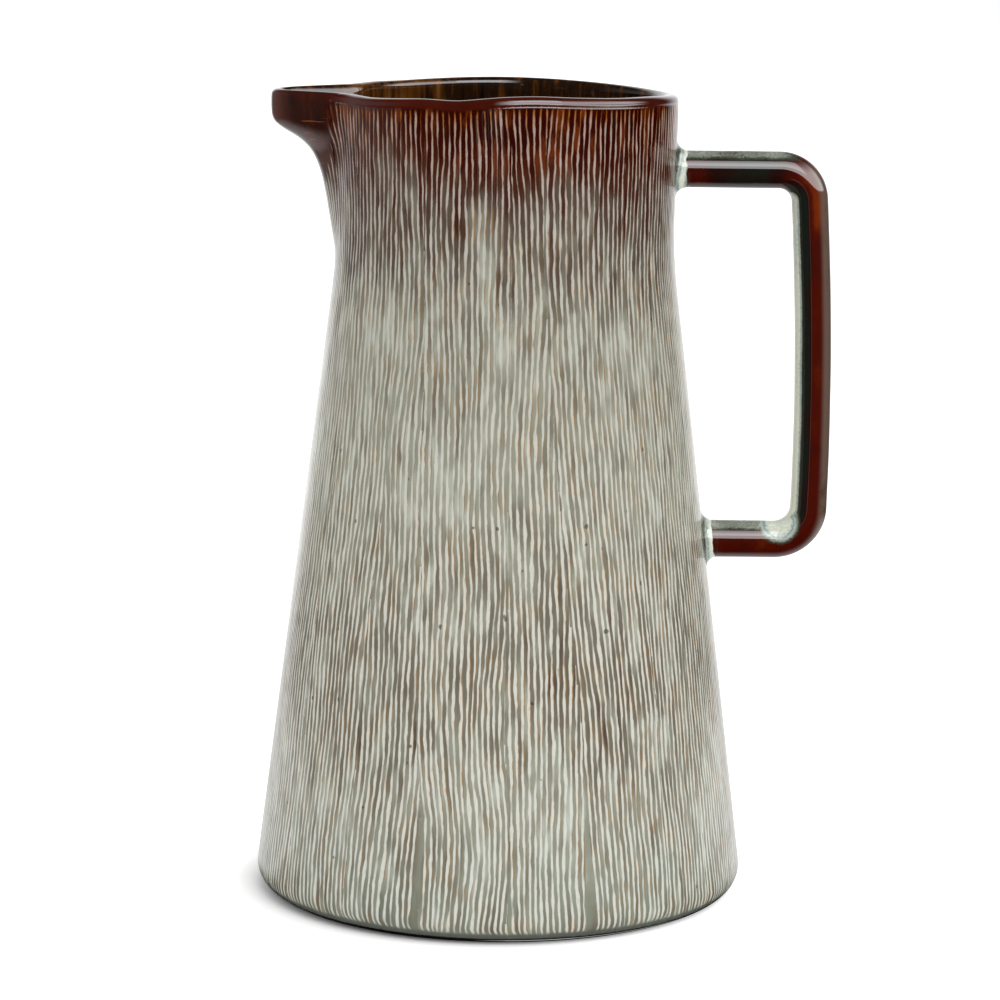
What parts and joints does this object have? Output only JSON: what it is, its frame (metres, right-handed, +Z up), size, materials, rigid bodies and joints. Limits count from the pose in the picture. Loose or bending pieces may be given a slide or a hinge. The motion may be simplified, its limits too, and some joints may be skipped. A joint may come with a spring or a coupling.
{
  "type": "jug",
  "caption": "Tall tapered stoneware jug with a combed wall, a short upright neck, a beak spout and a bent rod handle.",
  "frame": {"origin": "centre of the foot ring, on the surface that the jug stands on", "axes": "+Z up along the jug's axis; +X towards the handle; -X towards the spout; the plane y = 0 is the jug's mirror plane"},
  "size_m": [0.1556, 0.1332, 0.22],
  "materials": {
    "combed_glaze": "glossy running glaze, dark brown at the rim and grey-green to beige below, pale lines in the combing",
    "spout_glaze": "glossy dark red-brown glaze",
    "handle_glaze": "glossy dark red-brown glaze with grey-green mottling",
    "slip_glaze": "glossy pale blue-green glaze, pooled thickly"
  },
  "bodies": {
    "root": {"body": "combed_glaze", "spout": "spout_glaze", "handle": "handle_glaze", "upper_slip_collar": "slip_glaze", "lower_slip_collar": "slip_glaze"}
  },
  "joints": []
}
